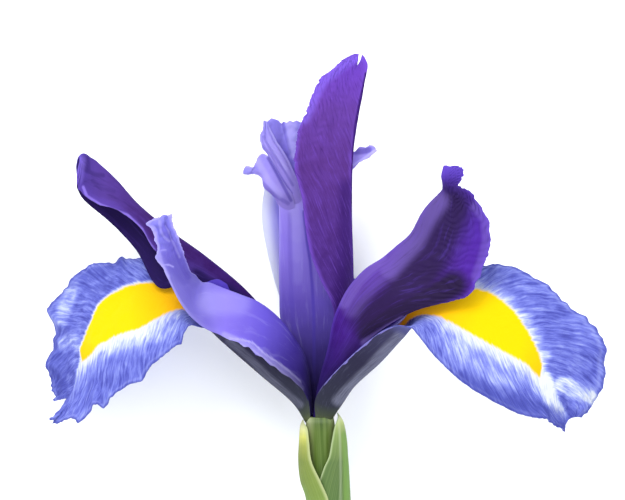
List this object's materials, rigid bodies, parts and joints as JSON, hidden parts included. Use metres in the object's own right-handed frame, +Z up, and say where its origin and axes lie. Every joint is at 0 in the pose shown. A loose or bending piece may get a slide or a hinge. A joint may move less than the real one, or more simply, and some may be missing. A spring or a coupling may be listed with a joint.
{
  "type": "iris flower",
  "caption": "Cut Dutch iris lying on its back, with blue falls marked yellow, violet standards, lavender style arms and a green stem with bracts.",
  "frame": {"origin": "centre of the bounding box on the surface that the flower lies on", "axes": "+Y runs from the cut stem to the head, +Z points up from the surface, +X completes a right-handed frame"},
  "size_m": [0.115, 0.1512, 0.0371],
  "materials": {
    "fall_petal": "blue petal with darker veins and a yellow signal",
    "standard_petal": "dark violet petal with fine veins",
    "style_arm": "lavender petal-like style arm",
    "stamen": "cream filament and anther",
    "green_stem": "smooth green stem",
    "bract": "pale green leafy sheath with papery edges"
  },
  "bodies": {
    "root": {"fall_left": "fall_petal", "fall_right": "fall_petal", "fall_back": "fall_petal", "standard_front": "standard_petal", "standard_right": "standard_petal", "standard_left": "standard_petal", "style_left": "style_arm", "style_right": "style_arm", "style_back": "style_arm", "stamen_left": "stamen", "stamen_right": "stamen", "stamen_back": "stamen", "ovary": "green_stem", "stem": "green_stem", "bract_outer": "bract", "bract_inner": "bract"}
  },
  "joints": []
}
